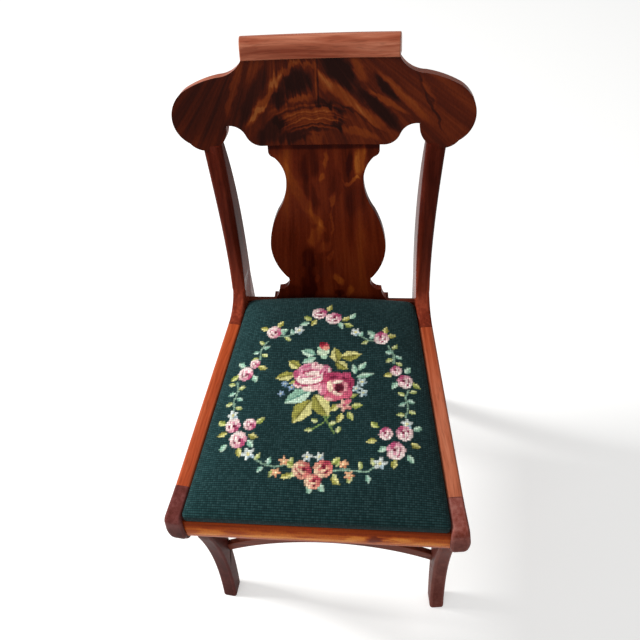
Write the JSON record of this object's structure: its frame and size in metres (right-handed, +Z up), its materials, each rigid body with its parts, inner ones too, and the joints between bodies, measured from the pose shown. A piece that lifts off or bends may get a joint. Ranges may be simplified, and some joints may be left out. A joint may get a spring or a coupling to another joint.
{
  "type": "empire side chair",
  "caption": "Wooden side chair with a raked crest rail with round lobes, vase shaped splat, sabre legs, arched stretcher and a drop-in seat covered in needlepoint.",
  "frame": {"origin": "on the floor, at the middle of the chair's footprint box", "axes": "+Z up, -Y towards the front of the chair, +X to the right seen from the front"},
  "size_m": [0.422, 0.5197, 0.8623],
  "materials": {
    "mahogany": "glossy shellac on dark red-brown mahogany",
    "crotch_veneer": "glossy shellac on crotch figured mahogany veneer",
    "secondary_wood": "unfinished ash and pine, aged",
    "needlepoint": "wool tent stitch on canvas, dark green ground with roses",
    "jute": "plain woven jute",
    "horsehair": "curled hair stuffing under wadding",
    "tack_iron": "blued cut tacks"
  },
  "bodies": {
    "chair_frame": {"right_side_rail": "mahogany", "right_front_leg": "mahogany", "right_rear_post": "mahogany", "right_seat_ledge": "secondary_wood", "front_right_glue_block": "secondary_wood", "rear_right_glue_block": "secondary_wood", "left_side_rail": "mahogany", "left_front_leg": "mahogany", "left_rear_post": "mahogany", "left_seat_ledge": "secondary_wood", "front_left_glue_block": "secondary_wood", "rear_left_glue_block": "secondary_wood", "front_rail": "mahogany", "front_rail_veneer": "crotch_veneer", "front_stretcher": "mahogany", "rear_rail": "mahogany", "rear_seat_ledge": "secondary_wood", "crest_board": "mahogany", "crest_veneer": "crotch_veneer", "crest_roll": "mahogany", "crest_roll_dowels": "secondary_wood", "splat_board": "mahogany", "splat_veneer": "crotch_veneer"},
    "slip_seat": {"seat_frame_front": "secondary_wood", "seat_frame_rear": "secondary_wood", "seat_frame_right": "secondary_wood", "seat_frame_left": "secondary_wood", "seat_frame_dowels": "secondary_wood", "seat_webbing": "jute", "needlepoint_cover": "needlepoint", "seat_stuffing": "horsehair", "seat_hessian": "jute", "cover_tacks": "tack_iron"}
  },
  "joints": [
    {"name": "seat_lift", "type": "slide", "parent": "chair_frame", "child": "slip_seat", "axis": [0, 0, 1], "range_m": [0, 0.12]}
  ]
}
